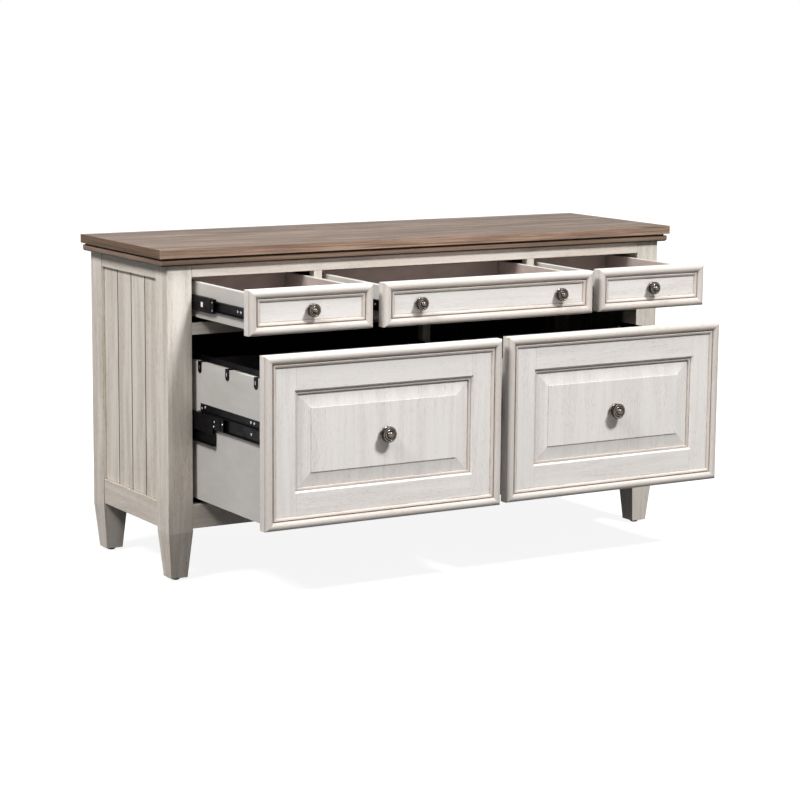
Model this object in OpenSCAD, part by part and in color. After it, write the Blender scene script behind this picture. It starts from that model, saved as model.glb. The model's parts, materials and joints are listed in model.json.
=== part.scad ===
// Credenza: three shallow drawers over two file drawers, in a post and rail case.
// Width is X, the front faces -Y, Z is up, and the origin is on the floor under the middle of the top.
// The drawers stand as far open as they are meant to be shown. Millimetres.

/* [Case] */
// Width of the top board
width = 1412; // [1250:1:1650]
// Depth of the top board
depth = 436; // [410:1:520]
// Height from the floor to the top face
height = 762; // [720:1:820]
// Thickness of the top board
top_thick = 20; // [16:1:30]
// Height of the moulded frame under the top board
tier_high = 17; // [14:1:26]
// How far the top board stands past the moulded frame
tier_inset = 5; // [2:0.5:9]
// Radius of the round along the lower edge of the moulded frame
tier_round = 9; // [3:0.5:12]
// Width of the strips of the moulded frame
tier_wide = 60; // [50:1:70]
// How far the top board stands past the posts at each end
end_overhang = 25; // [20:1:40]
// How far the top board stands past the posts at the front
front_overhang = 17; // [12:1:30]
// How far the top board stands past the posts at the back
back_overhang = 2; // [0:1:12]
// Number of planks drawn on the top board
plank_count = 4; // [2:1:7]
// Width of the groove between two planks
plank_groove = 1.6; // [0.8:0.1:3]

/* [Posts and rails] */
// Width of a post seen from the front
post_wide = 61; // [50:1:75]
// Width of a post seen from the end
post_deep = 60; // [48:1:70]
// Straight part of a foot below the bottom rail
taper_below_rail = 8; // [4:1:20]
// How much each side of a foot tapers in seen from the front
taper_wide = 10; // [4:1:16]
// How much each side of a foot tapers in seen from the end
taper_deep = 9; // [4:1:16]
// Height of the glide under each foot
glide_high = 7; // [4:1:12]
// Diameter of a glide
glide_diameter = 20; // [14:1:30]
// Thickness of the rails
rail_thick = 22; // [20:1:26]
// How far the end rails sit back from the face of the posts
rail_setback = 1.5; // [0.5:0.5:4]
// Height of the front top rail
top_rail_high = 29; // [24:1:45]
// Height of the openings of the upper drawers
upper_opening = 104; // [90:1:140]
// Height of the middle rail
mid_rail_high = 26; // [24:1:45]
// Height of the openings of the file drawers
file_opening = 390; // [350:1:410]
// Height of the front bottom rail
bottom_rail_high = 55; // [40:1:70]
// Height of the end rails at the bottom
end_bottom_rail_high = 59; // [45:1:80]
// Height of the end rails at the top
end_top_rail_high = 35; // [30:1:60]
// Length of the tenons on the rails
tenon_long = 15; // [10:1:20]
// Width of the uprights between the drawers
divider_wide = 21; // [18:1:28]
// Distance from the middle of the case to the middle of the uprights between the upper drawers
divider_at = 296; // [240:0.5:340]

/* [Panels] */
// Thickness of the end panels
end_panel_thick = 12; // [9:1:14]
// How far the end panels sit back from the face of the posts
end_panel_recess = 8; // [4:1:10]
// Distance between the grooves in the end panels
bead_pitch = 74.25; // [40:0.25:80]
// Width of a groove in the end panels
bead_wide = 4; // [2:0.5:7]
// Thickness of the back panel
back_thick = 6; // [4:0.5:9]
// Thickness of the dust panels under the upper drawers and under the file drawers
dust_thick = 9; // [6:1:12]
// Thickness of the back rails
back_rail_thick = 20; // [16:1:22]
// Height of the upper back rail
back_rail_high = 60; // [50:1:80]
// Thickness of the strips that carry the runners at the ends
cleat_thick = 20; // [15:1:30]

/* [Drawer fronts] */
// Thickness of the drawer fronts
front_thick = 20; // [18:0.5:22]
// Gap around each drawer front
reveal = 2; // [1.5:0.5:4]
// Gap above each file drawer front
file_top_gap = 6; // [2:0.5:8]
// Width of the moulding round each drawer front
trim_wide = 29; // [24:0.5:34]
// How far the moulding stands out from the drawer front
trim_proud = 8; // [7:0.5:10]
// Width of the rounded outer part of the moulding
trim_nose = 19.5; // [16:0.5:22]
// Width of the uprights of the file drawer fronts
stile_wide = 78.5; // [60:1:100]
// Height of the rails of the file drawer fronts
front_rail_high = 82; // [60:1:100]
// Width of the bevel on the raised panels
bevel_wide = 38; // [20:1:50]
// Diameter of the knobs on the upper drawers
upper_knob = 30; // [26:0.5:36]
// Diameter of the knobs on the file drawers
file_knob = 36; // [28:0.5:40]
// How far the knobs on the wide drawer sit from its middle
knob_spread = 190; // [80:1:240]

/* [Drawer boxes] */
// Thickness of the sides of the drawer boxes
wall = 12; // [11:1:15]
// Room behind a closed drawer box
box_end_room = 20; // [10:1:40]
// Height of the upper drawer boxes above the middle rail
upper_box_lift = 13; // [8:1:16]
// Room above the upper drawer boxes
upper_box_room = 11; // [8:1:20]
// Height of the file drawer boxes above the bottom rail
file_box_lift = 13; // [10:1:22]
// Room above the file drawer boxes, for the hanging files
file_box_room = 60; // [44:1:80]
// Thickness of the drawer bottoms
floor_thick = 6; // [4:0.5:8]
// Depth of the grooves that hold the drawer bottoms
floor_groove = 6; // [3:0.5:7]
// Width of the notches in the file drawer sides
notch_wide = 18; // [12:1:24]
// Depth of the notches in the file drawer sides
notch_deep = 26; // [16:1:34]
// Height that the file hanger strips stand above the drawer sides
hanger_rise = 14; // [10:1:32]

/* [Runners] */
// Room taken by a runner between a drawer box and the case
runner_room = 12.7; // [12.5:0.1:14]
// Thickness of the steel of the runners
steel = 1.2; // [1:0.1:1.5]
// How much shorter a runner is than its drawer box
runner_short = 5; // [4:1:40]
// Height of the runners of the upper drawers
upper_runner_high = 43; // [41:1:48]
// Height of the upper edge of the file drawer runners above the bottom of their box
file_runner_up = 224; // [120:1:270]

/* [How far open] */
// How far the left upper drawer stands open
open_upper_left = 270; // [0:1:350]
// How far the middle upper drawer stands open
open_upper_middle = 275; // [0:1:350]
// How far the right upper drawer stands open
open_upper_right = 265; // [0:1:350]
// How far the left file drawer stands open
open_file_left = 343; // [0:1:360]
// How far the right file drawer stands open
open_file_right = 331; // [0:1:360]

/* [Hidden] */
// Smoothness of round shapes
round_steps = 48;
// Small extra length that carries a cut clear of a face
clear = 1;
// Glue line between two pieces of one frame or box
glue = 0.1;

// Case faces
top_x = width / 2;
top_front = -depth / 2;
top_back = depth / 2;
tier_top = height - top_thick;
frame_top = tier_top - tier_high;
tier_x = top_x - tier_inset;
tier_front = top_front + tier_inset;
post_x = top_x - end_overhang;
post_in = post_x - post_wide;
post_front = top_front + front_overhang;
post_back = top_back - back_overhang;
front_post_end = post_front + post_deep;
back_post_start = post_back - post_deep;
rail_back = post_front + rail_thick;
upper_ceiling = frame_top - top_rail_high;
upper_floor = upper_ceiling - upper_opening;
file_ceiling = upper_floor - mid_rail_high;
file_floor = file_ceiling - file_opening;
rail_bottom = file_floor - bottom_rail_high;
taper_start = rail_bottom - taper_below_rail;
end_rail_low_top = rail_bottom + end_bottom_rail_high;
end_rail_high_bottom = frame_top - end_top_rail_high;
tier_back = post_back;

// End frames
end_rail_x = post_x - rail_setback;
end_panel_x = post_x - end_panel_recess;
panel_groove = 6;
end_tenon_cover = 5.5;
end_tenon_x = end_rail_x - end_tenon_cover;
end_tenon_thick = 11;
end_tenon_edge = 7;

// Front frame
tenon_cover = 6;
tenon_front = post_front + tenon_cover;
tenon_thick = 10;
tenon_edge = 4;
stub = 8;
stub_edge = 5;

// Back frame
back_rail_inset = 2;
back_rail_face = post_back - back_rail_inset;
back_rail_front = back_rail_face - back_rail_thick;
back_panel_cover = 7;
back_panel_front = back_rail_front + back_panel_cover;
back_panel_back = back_panel_front + back_thick;
back_panel_low = file_floor - panel_groove;
back_panel_high = frame_top - back_rail_high + panel_groove;
back_tenon_cover = 5;
back_tenon_front = back_rail_front + back_tenon_cover;

// Inside the case
dust_cover = 6;
dust_top = upper_floor - dust_cover;
dust_low = dust_top - dust_thick;
low_dust_top = file_floor - bottom_rail_high / 3;
low_dust_low = low_dust_top - dust_thick;
dust_groove = 5;
block_leg = 30;
upper_edge = divider_at - divider_wide / 2;
outer_edge = divider_at + divider_wide / 2;
centre_edge = divider_wide / 2;

// Grooves in the top board
plank_pitch = depth / plank_count;
plank_depth = plank_groove / 2;

// Drawer fronts
closed_back = post_front + front_thick;
upper_low = upper_floor + reveal;
upper_high = upper_ceiling - reveal;
file_low = file_floor + reveal;
file_high = file_ceiling - file_top_gap;
panel_tongue = 6;
tongue_thick = 5;
panel_back = 4;
edge_chamfer = 4;
cove_past = 2;
cove_rise = 4.5;
field_back = 3;
field_step = 1.5;
bevel_edge = 1;

// Drawer boxes
box_long = back_rail_front - closed_back - box_end_room;
upper_box_low = upper_floor + upper_box_lift;
upper_box_high = upper_ceiling - upper_box_room - upper_box_low;
file_box_low = file_floor + file_box_lift;
file_box_high = file_ceiling - file_box_room - file_box_low;
floor_up = 9;
notch_first = 37;
notch_pitch = 136;
notch_list = [notch_first, notch_first + notch_pitch, notch_first + 2 * notch_pitch];
strip_thick = 2;
strip_below = 22;
clip_play = 0.5;
clip_out = 1.5;

// Runners: t is measured from the case to the drawer box
runner_setback = 2;
runner_start = closed_back + runner_setback;
runner_long = box_long - runner_short;
cleat_margin = 10;
upper_middle_back = 26;
file_middle_back = 53;
middle_short = 55;
middle_long = runner_long - middle_short;
upper_runner_up = 35;
upper_runner_mid = upper_box_low + upper_runner_up;
case_lip = 9;
middle_at = 2.4;
middle_reach = 11;
outer_ball_room = 3.5;
inner_ball_room = 3.8;
middle_half = upper_runner_high / 2 - steel - outer_ball_room;
inner_at = 5;
inner_half = middle_half - steel - inner_ball_room;
run_gap = 0.3;
cage_web = 0.9;
rear_cage_long = 100;
rear_cage_inset = 15;
upper_cage_out = 14;
file_cage_out = 50;
bite = 0.5;
front_cage_long = 90;
slot_from_end = 40;
slot_long = 8;
slot_high = 10;
file_runner_top = file_box_low + file_runner_up;
file_plate_high = 48.5;
file_channel_high = 31.5;
file_inner_at = 5;
file_plate_short = 47;
file_middle_drop = 20;
file_middle_web = 39;
file_middle_foot = 28;
file_middle_top = file_runner_top - file_middle_drop;
file_middle_fold = file_middle_top - file_middle_web;
file_middle_low = file_middle_fold - file_middle_foot;
file_middle_at = 2.6;
file_middle_reach = 10.5;
file_rib_up = 4;
file_rib_low = file_runner_top - file_plate_high + file_rib_up;
file_case_room = 5;
file_case_low = file_middle_low + file_case_room;
file_case_high = file_middle_fold - file_case_room;
file_case_lip = 7.5;

// The three upper openings and the two file openings, left to right
upper_left_room = [-post_in, -outer_edge];
upper_middle_room = [-upper_edge, upper_edge];
upper_right_room = [outer_edge, post_in];
file_left_room = [-post_in, -centre_edge];
file_right_room = [centre_edge, post_in];

// Where each piece is

// Shared shapes

// A board between two corners
module board(low, high) {
  translate(low) cube(high - low);
}

// The same shape at both ends of the case
module both_ends() {
  children();
  mirror([1, 0, 0]) children();
}

// A flat outline (y, z) carried along X
module along_x(from, to) {
  translate([from, 0, 0]) rotate([90, 0, 90]) linear_extrude(height = to - from) children();
}

// A flat outline (x, z) carried along Y
module along_y(from, to) {
  translate([0, to, 0]) rotate([90, 0, 0]) linear_extrude(height = to - from) children();
}

// Section of the moulded frame, outer edge at 0
module tier_section() {
  intersection() {
    square([tier_wide, tier_high]);
    union() {
      translate([0, tier_round]) square([tier_wide, tier_high]);
      translate([tier_round, 0]) square([tier_wide, tier_high]);
      translate([tier_round, tier_round]) circle(r = tier_round, $fn = round_steps);
    }
  }
}

// Section of the moulding on the drawer fronts, outer edge at 0
module trim_section() {
  nose = trim_proud - 1;
  lip = trim_proud / 2;
  intersection() {
    square([trim_wide, trim_proud]);
    union() {
      square([trim_nose, 1]);
      translate([nose, 0]) square([trim_nose - nose - lip, trim_proud]);
      translate([nose, 1]) circle(r = nose, $fn = round_steps);
      translate([trim_nose - lip, 0]) square([lip, lip]);
      translate([trim_nose - lip, lip]) circle(r = lip, $fn = round_steps);
      difference() {
        translate([trim_nose - lip / 2, 0]) square([trim_wide - trim_nose + lip / 2, lip]);
        translate([trim_wide + cove_past, lip + cove_rise]) circle(r = trim_proud, $fn = round_steps);
      }
    }
  }
}

// One mitred strip of moulding, long enough for the side it lies on, outer edge on the X axis
module trim_strip(long) {
  intersection() {
    rotate([90, 0, 90]) linear_extrude(height = long) trim_section();
    linear_extrude(height = trim_proud + clear)
      polygon([[glue, 0], [long - glue, 0], [long - trim_wide - glue, trim_wide],
        [trim_wide + glue, trim_wide]]);
  }
}

// Four strips of moulding round a front between x0 and x1, z0 and z1, on the face at y
module trim(x0, x1, z0, z1, y) {
  wide = x1 - x0;
  high = z1 - z0;
  translate([x0, y, z0]) rotate([90, 0, 0]) trim_strip(wide);
  translate([x1, y, z0]) rotate([90, 0, 0]) rotate([0, 0, 90]) trim_strip(high);
  translate([x1, y, z1]) rotate([90, 0, 0]) rotate([0, 0, 180]) trim_strip(wide);
  translate([x0, y, z1]) rotate([90, 0, 0]) rotate([0, 0, 270]) trim_strip(high);
}

// A turned knob standing on the face at y
module knob(x, y, z, across) {
  r = across / 2;
  translate([x, y, z]) rotate([90, 0, 0]) rotate_extrude($fn = round_steps)
    polygon([[0, 0], [0.4 * r, 0], [0.36 * r, 0.14 * r], [0.36 * r, 0.2 * r], [0.88 * r, 0.29 * r],
      [0.93 * r, 0.37 * r], [0.9 * r, 0.45 * r], [0.77 * r, 0.54 * r], [0.81 * r, 0.7 * r],
      [0.9 * r, 0.88 * r], [r, 1.04 * r], [r, 1.14 * r], [0.93 * r, 1.22 * r], [0.79 * r, 1.25 * r],
      [0.71 * r, 1.19 * r], [0.65 * r, 1.2 * r], [0.59 * r, 1.28 * r], [0.52 * r, 1.28 * r],
      [0.46 * r, 1.25 * r], [0.4 * r, 1.42 * r], [0.22 * r, 1.59 * r], [0, 1.65 * r]]);
}

// A cut that widens toward the front: size x0..x1 and z0..z1 at the back, spread by grow at the front
module flared(x0, x1, z0, z1, back, front, grow) {
  intersection() {
    translate([0, 0, z0 - grow - clear]) linear_extrude(height = z1 - z0 + 2 * grow + 2 * clear)
      polygon([[x0, back], [x1, back], [x1 + grow, front], [x0 - grow, front]]);
    along_x(x0 - grow - clear, x1 + grow + clear)
      polygon([[back, z0], [back, z1], [front, z1 + grow], [front, z0 - grow]]);
  }
}

// Case

// A tapered post with its outer corner at the left front
module post(front) {
  back = front + post_deep;
  foot = glide_high;
  intersection() {
    along_y(front, back)
      polygon([[-post_x, frame_top], [-post_x, taper_start], [-post_x + taper_wide, foot],
        [-post_in - taper_wide, foot], [-post_in, taper_start], [-post_in, frame_top]]);
    along_x(-post_x, -post_in)
      polygon([[front, frame_top], [front, taper_start], [front + taper_deep, foot],
        [back - taper_deep, foot], [back, taper_start], [back, frame_top]]);
  }
}

// Tenons and panel edges that go into the posts, left end
module left_joints() {
  for (z = [[upper_ceiling, frame_top], [file_ceiling, upper_floor], [rail_bottom, file_floor]])
    front_tenon(z[0], z[1]);
  end_tenons(rail_bottom, end_rail_low_top);
  end_tenons(end_rail_high_bottom, frame_top);
  end_panel_blank();
  back_tenon(frame_top - back_rail_high, frame_top);
  back_tenon(rail_bottom, file_floor);
  back_panel_blank();
}

// Tenon of a front rail at the left end
module front_tenon(low, high) {
  board([-post_in - tenon_long, tenon_front, low + tenon_edge],
    [-post_in + clear, tenon_front + tenon_thick, high - tenon_edge]);
}

// Tenons of an end rail at the left end
module end_tenons(low, high) {
  board([-end_tenon_x, front_post_end - tenon_long, low + end_tenon_edge],
    [-end_tenon_x + end_tenon_thick, back_post_start + tenon_long, high - end_tenon_edge]);
}

// Tenon of a back rail at the left end
module back_tenon(low, high) {
  board([-post_in - tenon_long, back_tenon_front, low + 2 * panel_groove],
    [-post_in + clear, back_tenon_front + tenon_thick, high - panel_groove - clear]);
}

// End panel before its grooves are cut, left end
module end_panel_blank() {
  board([-end_panel_x, front_post_end - panel_groove, end_rail_low_top - panel_groove],
    [-end_panel_x + end_panel_thick, back_post_start + panel_groove, end_rail_high_bottom + panel_groove]);
}

// Back panel
module back_panel_blank() {
  board([-post_in - panel_groove, back_panel_front, back_panel_low],
    [post_in + panel_groove, back_panel_back, back_panel_high]);
}

module top_board() {
  color([0.5, 0.43, 0.37]) difference() {
    board([-top_x, top_front, tier_top], [top_x, top_back, height]);
    for (i = [1 : plank_count - 1]) {
      y = top_front + i * plank_pitch;
      along_x(-top_x - clear, top_x + clear)
        polygon([[y - plank_groove / 2, height], [y, height - plank_depth], [y + plank_groove / 2, height],
          [y + plank_groove / 2, height + clear], [y - plank_groove / 2, height + clear]]);
    }
  }
}

module top_frame() {
  color([0.47, 0.4, 0.35]) {
    intersection() {
      translate([0, tier_front, frame_top]) along_x(-tier_x, tier_x) tier_section();
      linear_extrude(height = height)
        polygon([[-tier_x + glue, tier_front], [tier_x - glue, tier_front],
          [tier_x - tier_wide - glue, tier_front + tier_wide],
          [-tier_x + tier_wide + glue, tier_front + tier_wide]]);
    }
    both_ends() intersection() {
      translate([-tier_x, 0, frame_top]) along_y(tier_front, tier_back) tier_section();
      linear_extrude(height = height)
        polygon([[-tier_x, tier_front], [-tier_x + tier_wide, tier_front + tier_wide],
          [-tier_x + tier_wide, tier_back], [-tier_x, tier_back]]);
    }
    board([-tier_x + tier_wide + glue, tier_back - tier_wide, frame_top],
      [tier_x - tier_wide - glue, tier_back, tier_top]);
  }
}

module front_posts() {
  color([0.86, 0.85, 0.82]) both_ends() difference() {
    post(post_front);
    left_joints();
  }
}

module back_posts() {
  color([0.86, 0.85, 0.82]) both_ends() difference() {
    post(back_post_start);
    left_joints();
  }
}

// An end rail, left end
module end_rail(low, high) {
  difference() {
    union() {
      board([-end_rail_x, front_post_end, low], [-end_rail_x + rail_thick, back_post_start, high]);
      end_tenons(low, high);
    }
    end_panel_blank();
  }
}

module side_top_rails() {
  color([0.85, 0.84, 0.81]) both_ends() end_rail(end_rail_high_bottom, frame_top);
}

module side_bottom_rails() {
  color([0.85, 0.84, 0.81]) both_ends() end_rail(rail_bottom, end_rail_low_top);
}

module side_panels() {
  color([0.84, 0.83, 0.8]) both_ends() difference() {
    end_panel_blank();
    for (y = [front_post_end + bead_pitch : bead_pitch : back_post_start - bead_wide])
      linear_extrude(height = height)
        polygon([[-end_panel_x - clear, y - bead_wide / 2], [-end_panel_x, y - bead_wide / 2],
          [-end_panel_x + bead_wide / 2, y], [-end_panel_x, y + bead_wide / 2],
          [-end_panel_x - clear, y + bead_wide / 2]]);
  }
}

// A front rail with its tenons
module front_rail(low, high) {
  board([-post_in, post_front, low], [post_in, rail_back, high]);
  both_ends() front_tenon(low, high);
}

// An upright between two drawers with its stub tenons
module divider(x, low, high) {
  board([x - divider_wide / 2, post_front, low], [x + divider_wide / 2, rail_back, high]);
  board([x - divider_wide / 2 + stub_edge, tenon_front, low - stub],
    [x + divider_wide / 2 - stub_edge, tenon_front + tenon_thick, high + stub]);
}

module all_dividers() {
  divider(-divider_at, upper_floor, upper_ceiling);
  divider(divider_at, upper_floor, upper_ceiling);
  divider(0, file_floor, file_ceiling);
}

module front_top_rail() {
  color([0.87, 0.86, 0.83]) difference() {
    front_rail(upper_ceiling, frame_top);
    all_dividers();
  }
}

module front_mid_rail() {
  color([0.87, 0.86, 0.83]) difference() {
    front_rail(file_ceiling, upper_floor);
    all_dividers();
    board([-post_in, rail_back - dust_groove, dust_low], [post_in, rail_back + clear, dust_top]);
  }
}

module front_bottom_rail() {
  color([0.87, 0.86, 0.83]) difference() {
    front_rail(rail_bottom, file_floor);
    all_dividers();
    board([-post_in, rail_back - dust_groove, low_dust_low], [post_in, rail_back + clear, low_dust_top]);
  }
}

module front_dividers() {
  color([0.86, 0.85, 0.82]) all_dividers();
}

module upper_partitions() {
  color([0.72, 0.68, 0.62]) both_ends()
    board([-outer_edge, rail_back, dust_top], [-upper_edge, back_rail_front, frame_top]);
}

module centre_partition() {
  color([0.72, 0.68, 0.62])
    board([-centre_edge, rail_back, low_dust_top], [centre_edge, back_rail_front, dust_low]);
}

module back_panel() {
  color([0.66, 0.6, 0.52]) back_panel_blank();
}

module back_rails() {
  color([0.8, 0.78, 0.74]) for (z = [[frame_top - back_rail_high, frame_top], [rail_bottom, file_floor]])
    difference() {
      union() {
        board([-post_in, back_rail_front, z[0]], [post_in, back_rail_face, z[1]]);
        both_ends() back_tenon(z[0], z[1]);
      }
      back_panel_blank();
    }
}

// One dust panel under the upper drawers and one under the file drawers
module dust_panels() {
  color([0.66, 0.6, 0.52]) {
    board([-post_in, rail_back - dust_groove, dust_low], [post_in, back_panel_front, dust_top]);
    board([-post_in, rail_back - dust_groove, low_dust_low], [post_in, back_rail_front, low_dust_top]);
  }
}

module runner_cleats() {
  color([0.7, 0.64, 0.55]) both_ends() {
    board([-post_in - cleat_thick, front_post_end, dust_low],
      [-post_in, back_post_start, upper_runner_mid + upper_runner_high / 2 + cleat_margin]);
    board([-post_in - cleat_thick, front_post_end, file_middle_low - cleat_margin],
      [-post_in, back_post_start, file_runner_top + cleat_margin]);
  }
}

module corner_blocks() {
  color([0.7, 0.64, 0.55]) both_ends() translate([0, 0, upper_ceiling])
    linear_extrude(height = frame_top - upper_ceiling) {
      polygon([[-post_in, rail_back], [-post_in + block_leg, rail_back], [-post_in, rail_back + block_leg]]);
      polygon([[-post_in, back_rail_front], [-post_in, back_rail_front - block_leg],
        [-post_in + block_leg, back_rail_front]]);
    }
}

module foot_glides() {
  r = glide_diameter / 2;
  color([0.13, 0.12, 0.12]) both_ends()
    for (y = [post_front + post_deep / 2, post_back - post_deep / 2])
      translate([-post_x + post_wide / 2, y, 0]) rotate_extrude($fn = round_steps)
        polygon([[0, 0], [0.62 * r, 0], [0.86 * r, 0.14 * glide_high], [r, 0.42 * glide_high],
          [r, glide_high], [0, glide_high]]);
}

// Runners

// Places a runner section (t, z) on the right face of something at x, carried along Y
module runner_on_left(x, from, to) {
  translate([x, 0, 0]) along_y(from, to) children();
}

// The same on the left face of something at x
module runner_on_right(x, from, to) {
  translate([x, 0, 0]) mirror([1, 0, 0]) along_y(from, to) children();
}

// A runner section on both sides of an opening from x0 to x1
module runner_pair(x0, x1, from, to) {
  runner_on_left(x0, from, to) children();
  runner_on_right(x1, from, to) children();
}

// Outline of a channel with its web at t0 and its lips reaching t1
module channel(t0, t1, half) {
  near = min(t0, t1);
  reach = abs(t1 - t0);
  web = t0 < t1 ? t0 : t0 - steel;
  translate([web, -half]) square([steel, 2 * half]);
  for (z = [-half, half - steel]) translate([near, z]) square([reach, steel]);
}

module upper_case_section() {
  translate([0, upper_runner_mid]) channel(0, case_lip, upper_runner_high / 2);
}

module upper_middle_section() {
  translate([0, upper_runner_mid]) channel(middle_at, middle_reach, middle_half);
}

// Ball cage between a middle runner and the drawer's runner
module upper_front_cage() {
  half = middle_half - steel;
  web = middle_at + steel;
  translate([0, upper_runner_mid]) {
    translate([web - bite, -half]) square([cage_web + bite, 2 * half]);
    for (z = [-half - bite, inner_half + run_gap])
      translate([web, z]) square([middle_reach - web - bite, half - inner_half - run_gap + bite]);
  }
}

// Ball cage between a middle runner and the case runner
module upper_rear_cage() {
  room = upper_runner_high / 2 - steel - middle_half;
  at = middle_at + 2;
  translate([0, upper_runner_mid])
    for (z = [middle_half - bite, -middle_half - room + run_gap])
      translate([at, z]) square([case_lip - at - bite, room - run_gap + bite]);
}

module upper_box_section() {
  translate([0, upper_runner_mid]) channel(runner_room, inner_at, inner_half);
}

module file_case_section() {
  half = (file_case_high - file_case_low) / 2;
  translate([0, file_case_low + half]) channel(0, file_case_lip, half);
}

module file_middle_section() {
  span = file_middle_reach - file_middle_at;
  translate([file_middle_at, file_middle_fold]) square([steel, file_middle_top - file_middle_fold]);
  translate([file_middle_reach - steel, file_middle_low])
    square([steel, file_middle_fold - file_middle_low]);
  for (z = [file_middle_low, file_middle_fold - steel])
    translate([file_middle_at, z]) square([span, steel]);
  for (z = [file_rib_low, file_middle_top - steel])
    translate([file_middle_at, z]) square([span - 1, steel]);
}

module file_front_cage() {
  web = file_middle_at + steel;
  low = file_runner_top - file_plate_high + steel + run_gap;
  high = file_runner_top - file_plate_high + file_channel_high - steel - run_gap;
  wide = file_middle_reach - 1 - web;
  translate([web - bite, low]) square([cage_web + bite, high - low]);
  translate([web, low]) square([wide, file_rib_low - low + bite]);
  translate([web, file_middle_top - bite]) square([wide, high - file_middle_top + bite]);
}

module file_rear_cage() {
  at = file_middle_at + 1;
  low = file_middle_low + steel;
  high = file_middle_fold - steel;
  wide = file_case_lip - at - bite;
  translate([at, low - bite]) square([wide, file_case_low - run_gap - low + bite]);
  translate([at, file_case_high + run_gap]) square([wide, high - file_case_high - run_gap + bite]);
}

module file_box_section() {
  low = file_runner_top - file_plate_high;
  translate([runner_room - steel, low]) square([steel, file_plate_high]);
  for (z = [low, low + file_channel_high - steel])
    translate([file_inner_at, z]) square([runner_room - file_inner_at, steel]);
}

module upper_case_runners() {
  color([0.13, 0.13, 0.14]) for (room = [upper_left_room, upper_middle_room, upper_right_room])
    runner_pair(room[0], room[1], runner_start, runner_start + runner_long) upper_case_section();
}

module file_case_runners() {
  color([0.13, 0.13, 0.14]) for (room = [file_left_room, file_right_room])
    runner_pair(room[0], room[1], runner_start, runner_start + runner_long) file_case_section();
}

// Middle runners from their section, front cage and rear cage
module middle_pair(room, start, cage_out) {
  end = start + middle_long;
  runner_pair(room[0], room[1], start, end) children(0);
  runner_pair(room[0], room[1], start - cage_out, start - cage_out + front_cage_long) children(1);
  runner_pair(room[0], room[1], end - rear_cage_inset - rear_cage_long, end - rear_cage_inset)
    children(2);
}

// Middle runners of an upper drawer that is open by the given amount
module upper_middle_runners(room, out) {
  start = runner_start + upper_middle_back - out / 2;
  color([0.16, 0.16, 0.17]) difference() {
    middle_pair(room, start, upper_cage_out) {
      upper_middle_section();
      upper_front_cage();
      upper_rear_cage();
    }
    board([room[0] - clear, start + slot_from_end - slot_long / 2, upper_runner_mid - slot_high / 2],
      [room[0] + inner_at, start + slot_from_end + slot_long / 2, upper_runner_mid + slot_high / 2]);
    board([room[1] - inner_at, start + slot_from_end - slot_long / 2, upper_runner_mid - slot_high / 2],
      [room[1] + clear, start + slot_from_end + slot_long / 2, upper_runner_mid + slot_high / 2]);
  }
}

module file_middle_runners(room, out) {
  start = runner_start + file_middle_back - out / 2;
  color([0.16, 0.16, 0.17]) middle_pair(room, start, file_cage_out) {
    file_middle_section();
    file_front_cage();
    file_rear_cage();
  }
}

module upper_box_runners(room, out) {
  start = closed_back + runner_setback - out;
  color([0.18, 0.18, 0.19])
    runner_pair(room[0], room[1], start, start + runner_long) upper_box_section();
}

module file_box_runners(room, out) {
  start = closed_back + runner_setback - out;
  color([0.18, 0.18, 0.19])
    runner_pair(room[0], room[1], start, start + runner_long - file_plate_short) file_box_section();
}

// Drawer boxes

// Four sides of a drawer box, grooved for its bottom
module box_sides(room, out, low, high) {
  x0 = room[0] + runner_room;
  x1 = room[1] - runner_room;
  y0 = closed_back - out;
  y1 = y0 + box_long;
  difference() {
    union() {
      board([x0, y0, low], [x0 + wall, y1, high]);
      board([x1 - wall, y0, low], [x1, y1, high]);
    }
    box_floor(room, out, low);
  }
  difference() {
    union() {
      board([x0 + wall + glue, y0, low], [x1 - wall - glue, y0 + wall, high]);
      board([x0 + wall + glue, y1 - wall, low], [x1 - wall - glue, y1, high]);
    }
    box_floor(room, out, low);
  }
}

module box_floor(room, out, low) {
  inset = wall - floor_groove;
  y0 = closed_back - out;
  board([room[0] + runner_room + inset, y0 + inset, low + floor_up],
    [room[1] - runner_room - inset, y0 + box_long - inset, low + floor_up + floor_thick]);
}

module upper_front(room, out) {
  color([0.88, 0.87, 0.84]) board([room[0] + reveal, post_front - out, upper_low],
    [room[1] - reveal, closed_back - out, upper_high]);
}

module upper_trim(room, out) {
  color([0.9, 0.89, 0.86])
    trim(room[0] + reveal, room[1] - reveal, upper_low, upper_high, post_front - out);
}

module upper_box(room, out) {
  color([0.78, 0.77, 0.74]) box_sides(room, out, upper_box_low, upper_box_low + upper_box_high);
}

module upper_bottom(room, out) {
  color([0.55, 0.51, 0.48]) box_floor(room, out, upper_box_low);
}

module upper_knobs(room, out, spread) {
  mid = (room[0] + room[1]) / 2;
  color([0.3, 0.28, 0.25]) for (x = spread > 0 ? [mid - spread, mid + spread] : [mid])
    knob(x, post_front - out, (upper_low + upper_high) / 2, upper_knob);
}

// File drawer front: the opening between its uprights and rails
function panel_x(room) = [room[0] + reveal + stile_wide, room[1] - reveal - stile_wide];
panel_z = [file_low + front_rail_high, file_high - front_rail_high];

module file_panel(room, out) {
  x = panel_x(room);
  face = post_front - out + field_back;
  back = closed_back - out - panel_back;
  shoulder = back - tongue_thick;
  color([0.88, 0.87, 0.84]) {
    board([x[0] - panel_tongue, shoulder, panel_z[0] - panel_tongue],
      [x[1] + panel_tongue, back, panel_z[1] + panel_tongue]);
    bevelled(x[0], x[1], shoulder + bevel_edge, face + field_step);
    board([x[0] + bevel_wide, face, panel_z[0] + bevel_wide],
      [x[1] - bevel_wide, shoulder, panel_z[1] - bevel_wide]);
  }
}

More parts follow.
